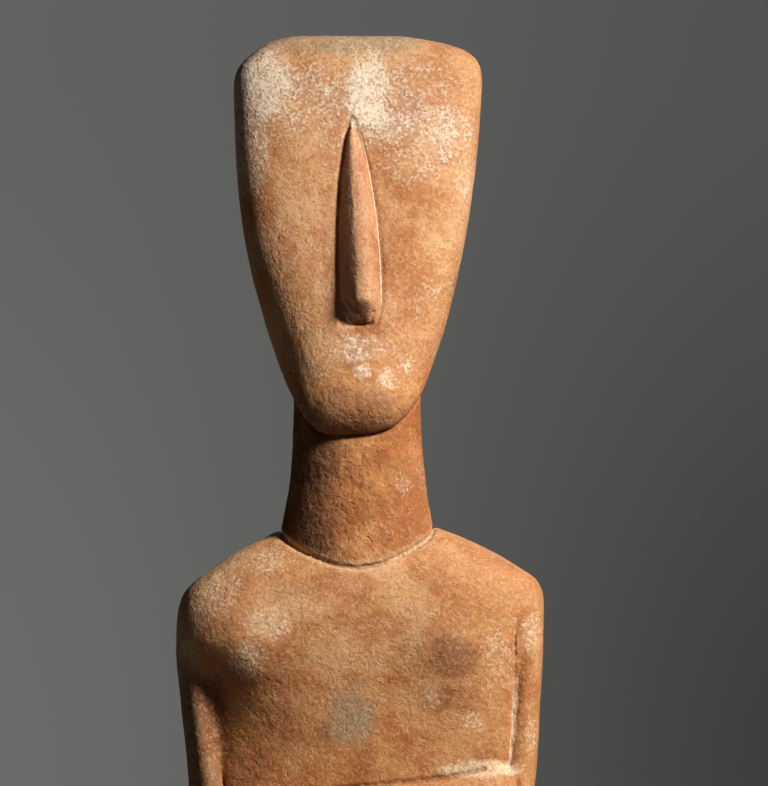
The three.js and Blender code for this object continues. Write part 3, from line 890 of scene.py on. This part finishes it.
        # The marble darkens what faces down with painted shade and some soiling
        store(mesh, "under", smooth_step(-normals_of(mesh)[:, 2], 0.25, 0.8))
        store(mesh, "worn", smooth_step(bulge, 0.00006, 0.0003))


class FIGURINE_OT_plinth(bpy.types.Operator):
    """Hones the plinth and rubs its edges"""

    bl_idname = "figurine.plinth"
    bl_label = "Hone the plinth"

    def execute(self, context):
        settings = context.scene.figurine_plinth
        block = copy_of_solid("plinth", "stone_plinth")
        angle = math.radians(32)
        finish_with(
            block, "BEVEL", width=settings.edge_wear, segments=3, limit_method="ANGLE", angle_limit=angle
        )
        mesh = block.data
        store(mesh, "worn", np.zeros(len(mesh.vertices), np.float32))
        mesh.materials.append(honed_stone(settings))
        select_only(block)
        bpy.ops.object.shade_smooth_by_angle(angle=math.radians(30))
        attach(block, "root")
        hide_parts("plinth")
        return {"FINISHED"}


WALL_UPPER_LEFT = (0.124, 0.124, 0.119)
WALL_UPPER_RIGHT = (0.084, 0.084, 0.080)
WALL_LOWER_LEFT = (0.150, 0.150, 0.144)
WALL_LOWER_RIGHT = (0.043, 0.043, 0.040)
DARK_STUDIO = (0.007, 0.007, 0.008)
SENSOR_WIDTH = 36  # mm


class FIGURINE_OT_stage(bpy.types.Operator):
    """Adds the pale floor, the studio lights, the grey surroundings and the camera"""

    bl_idname = "figurine.stage"
    bl_label = "Set up the studio"

    def execute(self, context):
        settings = context.scene.figurine_stage
        self.floor(settings)
        self.surroundings(context)
        middle = Vector((0, 0, settings.light_height))
        self.lamp("Key", middle, settings.key_power, side=51, rise=34, away=1.5, size=0.34, spread=50)
        self.lamp("Fill", middle, settings.fill_power, side=-12, rise=8, away=1.8, size=0.9, spread=60)
        self.lamp("Back", middle, settings.back_power, side=176, rise=14, away=2.2, size=1.0, spread=60)
        self.camera(context, settings)
        context.scene.view_settings.view_transform = "Standard"
        return {"FINISHED"}

    def floor(self, settings):
        bpy.ops.object.select_all(action="DESELECT")
        bpy.ops.mesh.primitive_circle_add(vertices=128, radius=settings.floor_radius, fill_type="NGON")
        floor = bpy.context.object
        floor.name = "Floor"
        bpy.ops.object.mode_set(mode="EDIT")
        bpy.ops.mesh.select_all(action="SELECT")
        bpy.ops.mesh.inset(thickness=settings.floor_radius * 0.5)
        bpy.ops.object.mode_set(mode="OBJECT")
        material = bpy.data.materials.new("Pale floor")
        s = Shader(material)
        inputs = {"Base Color": rgb(settings.floor_colour), "Roughness": 0.9}
        s.finish("ShaderNodeBsdfPrincipled", inputs, "ShaderNodeOutputMaterial")
        floor.data.materials.append(material)

    def surroundings(self, context):
        """A grey wall far behind the figure, lighter on the left, in a studio that is otherwise dark."""
        world = bpy.data.worlds.new("Grey studio")
        context.scene.world = world
        s = Shader(world)
        way = s.node("ShaderNodeTexCoord", output="Generated")
        x, y, z = s.parts(way)
        side = x.between(-0.055, 0.06)
        rise = z.between(-0.045, 0.045)
        upper = s.mix(side, rgb(WALL_UPPER_LEFT), rgb(WALL_UPPER_RIGHT))
        lower = s.mix(side, rgb(WALL_LOWER_LEFT), rgb(WALL_LOWER_RIGHT))
        wall = s.mix(rise, lower, upper)
        colour = s.mix(y.between(0.75, 0.97), rgb(DARK_STUDIO), wall)
        inputs = {"Color": colour, "Strength": 1.0}
        s.finish("ShaderNodeBackground", inputs, "ShaderNodeOutputWorld")

    def lamp(self, name, target, power, side, rise, away, size, spread):
        """A round light, its angles in degrees to the right of the front and above the level."""
        side, rise = math.radians(side), math.radians(rise)
        way = Vector((math.sin(side) * math.cos(rise), -math.cos(side) * math.cos(rise), math.sin(rise)))
        bpy.ops.object.light_add(type="AREA", location=target + way * away)
        lamp = bpy.context.object
        lamp.name = name
        lamp.rotation_euler = way.to_track_quat("Z", "Y").to_euler()
        lamp.data.shape = "DISK"
        lamp.data.size = size
        lamp.data.energy = power
        lamp.data.spread = math.radians(spread)
        lamp.visible_camera = False

    def camera(self, context, settings):
        bpy.ops.object.camera_add(
            location=(settings.frame_side, -settings.camera_distance, settings.frame_middle),
            rotation=(math.pi / 2, 0, 0),
        )
        camera = bpy.context.object
        camera.data.sensor_width = SENSOR_WIDTH
        camera.data.lens = SENSOR_WIDTH / 2 * settings.camera_distance / (settings.frame_height / 2)
        context.scene.camera = camera


class FIGURINE_PT_panel(bpy.types.Panel):
    bl_label = "Figurine"
    bl_idname = "FIGURINE_PT_panel"
    bl_space_type = "VIEW_3D"
    bl_region_type = "UI"
    bl_category = "Figurine"

    def draw(self, context):
        steps = (
            (context.scene.figurine_figure, "figurine.figure"),
            (context.scene.figurine_plinth, "figurine.plinth"),
            (context.scene.figurine_stage, "figurine.stage"),
        )
        for settings, operator in steps:
            box = self.layout.box()
            for name in settings.bl_rna.properties.keys():
                if name not in {"rna_type", "name"}:
                    box.prop(settings, name)
            box.operator(operator)


classes = (
    FigureSettings,
    PlinthSettings,
    StageSettings,
    FIGURINE_OT_figure,
    FIGURINE_OT_plinth,
    FIGURINE_OT_stage,
    FIGURINE_PT_panel,
)


def register():
    for cls in classes:
        bpy.utils.register_class(cls)
    bpy.types.Scene.figurine_figure = bpy.props.PointerProperty(type=FigureSettings)
    bpy.types.Scene.figurine_plinth = bpy.props.PointerProperty(type=PlinthSettings)
    bpy.types.Scene.figurine_stage = bpy.props.PointerProperty(type=StageSettings)


def unregister():
    del bpy.types.Scene.figurine_stage
    del bpy.types.Scene.figurine_plinth
    del bpy.types.Scene.figurine_figure
    for cls in reversed(classes):
        bpy.utils.unregister_class(cls)


def main():
    register()
    bpy.ops.figurine.figure()
    bpy.ops.figurine.plinth()
    bpy.ops.figurine.stage()


if __name__ == "__main__":
    main()
